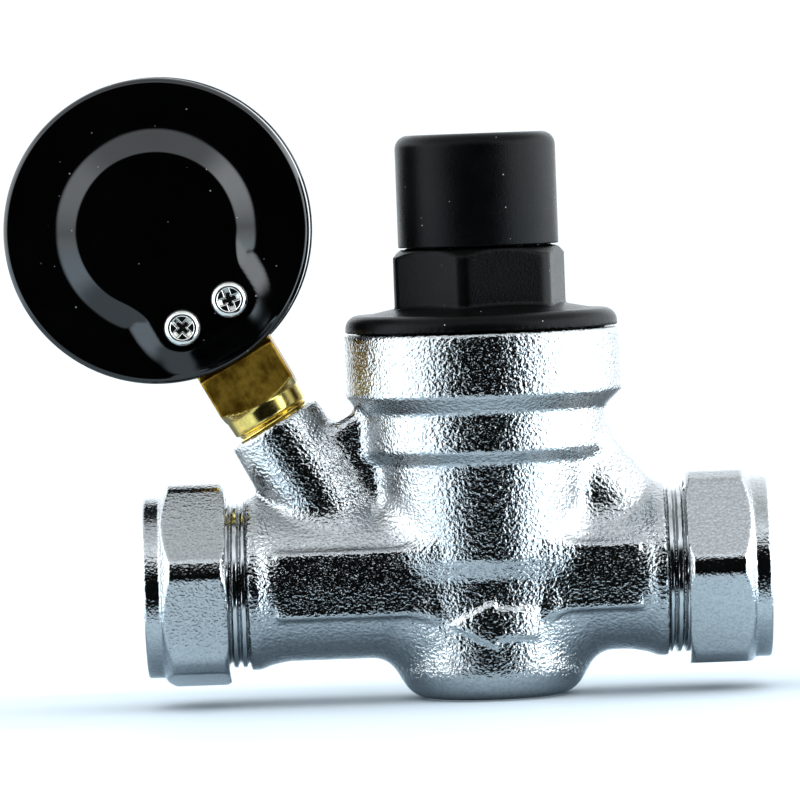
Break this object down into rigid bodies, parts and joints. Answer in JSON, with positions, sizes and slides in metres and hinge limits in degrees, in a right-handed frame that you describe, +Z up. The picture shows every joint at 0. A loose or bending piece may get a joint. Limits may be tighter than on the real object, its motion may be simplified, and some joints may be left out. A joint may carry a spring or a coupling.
{
  "type": "pressure reducing valve",
  "caption": "Chromed pressure reducing valve with compression nuts at both ends, a black spring bonnet and cap, and a pressure gauge on an angled boss.",
  "frame": {"origin": "centre of the flat underside of the bowl, on the cartridge axis", "axes": "+Z up the cartridge axis, +X towards the inlet, -X towards the outlet and the gauge; the gauge's dial faces +Y"},
  "size_m": [0.1274, 0.0472, 0.107],
  "materials": {
    "chrome": "chrome plate over a blasted forging",
    "brass": "machined",
    "brass_socket": "stained sides, bright turned chamfer",
    "steel": "satin",
    "nickel": "bright nickel plate",
    "black_plastic": "satin, finely textured",
    "inner_plastic": "satin",
    "black_enamel": "gloss black enamel",
    "rubber": "matt",
    "dial_white": "matt white with black marks",
    "pointer_black": "matt",
    "clear": "clear"
  },
  "bodies": {
    "valve": {"valve_body": "chrome", "seat_cartridge": "inner_plastic", "cartridge_base": "inner_plastic", "strainer": "steel", "lower_cartridge_o_ring": "rubber", "upper_cartridge_o_ring": "rubber", "diaphragm": "rubber", "regulating_spring": "steel", "bonnet": "black_plastic", "gauge_case": "black_enamel", "gauge_bezel": "black_enamel", "gauge_window": "clear", "gauge_dial": "dial_white", "bourdon_tube": "brass", "movement_bottom_plate": "brass", "movement_top_plate": "brass", "gauge_socket": "brass_socket", "gauge_screw_left": "nickel", "gauge_screw_right": "nickel"},
    "stem": {"valve_stem": "brass", "piston_o_ring": "rubber", "disc_seal": "rubber", "seal_retaining_nut": "brass", "lower_diaphragm_plate": "steel", "upper_diaphragm_plate": "steel", "stem_nut": "brass"},
    "spring_plate": {"spring_plate": "steel"},
    "adjusting_screw": {"adjusting_screw": "brass"},
    "cap": {"protective_cap": "black_plastic"},
    "inlet_olive": {"inlet_olive": "brass"},
    "inlet_nut": {"inlet_nut": "chrome"},
    "outlet_olive": {"outlet_olive": "brass"},
    "outlet_nut": {"outlet_nut": "chrome"},
    "pointer": {"pointer_pinion": "brass", "gauge_pointer": "pointer_black"},
    "sector": {"sector_gear": "brass"},
    "link": {"gauge_link": "steel"}
  },
  "joints": [
    {"name": "cap_lift", "type": "slide", "parent": "valve", "child": "cap", "axis": [0, 0, 1], "range_m": [0, 0.03]},
    {"name": "stem_slide", "type": "slide", "parent": "valve", "child": "stem", "axis": [0, 0, 1], "range_m": [0, 0.0025], "stiffness_N_per_m": 4000, "springref_m": -0.004, "deforming": ["diaphragm", "regulating_spring"]},
    {"name": "spring_plate_slide", "type": "slide", "parent": "valve", "child": "spring_plate", "axis": [0, 0, 1], "range_m": [-0.0031, 0.0031], "deforming": ["regulating_spring"]},
    {"name": "adjusting_screw_turn", "type": "hinge", "parent": "spring_plate", "child": "adjusting_screw", "pos_m": [0, 0, 0.0844], "axis": [0, 0, 1], "range_deg": [-720, 720]},
    {"name": "inlet_nut_slide", "type": "slide", "parent": "valve", "child": "inlet_olive", "axis": [1, 0, 0], "range_m": [0, 0.0061]},
    {"name": "inlet_nut_turn", "type": "hinge", "parent": "inlet_olive", "child": "inlet_nut", "pos_m": [0.0402, 0, 0.0205], "axis": [1, 0, 0], "range_deg": [0, 1440]},
    {"name": "outlet_nut_slide", "type": "slide", "parent": "valve", "child": "outlet_olive", "axis": [-1, 0, 0], "range_m": [0, 0.0061]},
    {"name": "outlet_nut_turn", "type": "hinge", "parent": "outlet_olive", "child": "outlet_nut", "pos_m": [-0.0514, 0, 0.0205], "axis": [-1, 0, 0], "range_deg": [0, 1440]},
    {"name": "sector_turn", "type": "hinge", "parent": "valve", "child": "sector", "pos_m": [-0.06639, 0, 0.07411], "axis": [0, 1, 0], "range_deg": [0, 45], "stiffness_Nm_per_rad": 0.02, "springref_deg": -5.73, "deforming": ["bourdon_tube"]},
    {"name": "pointer_turn", "type": "hinge", "parent": "valve", "child": "pointer", "pos_m": [-0.05415, 0, 0.08091], "axis": [0, 1, 0], "range_deg": [-270, 0]},
    {"name": "link_turn", "type": "hinge", "parent": "sector", "child": "link", "pos_m": [-0.06445, 0, 0.07061], "axis": [0, 1, 0], "range_deg": [-45, 0]}
  ],
  "couplings": [
    {"joint": "spring_plate_slide", "follows": "adjusting_screw_turn", "m_per_rad": 0.00023873},
    {"joint": "inlet_nut_slide", "follows": "inlet_nut_turn", "m_per_rad": 0.00023873},
    {"joint": "outlet_nut_slide", "follows": "outlet_nut_turn", "m_per_rad": 0.00023873},
    {"joint": "pointer_turn", "follows": "sector_turn", "ratio": -6},
    {"joint": "link_turn", "follows": "sector_turn", "ratio": -1}
  ]
}
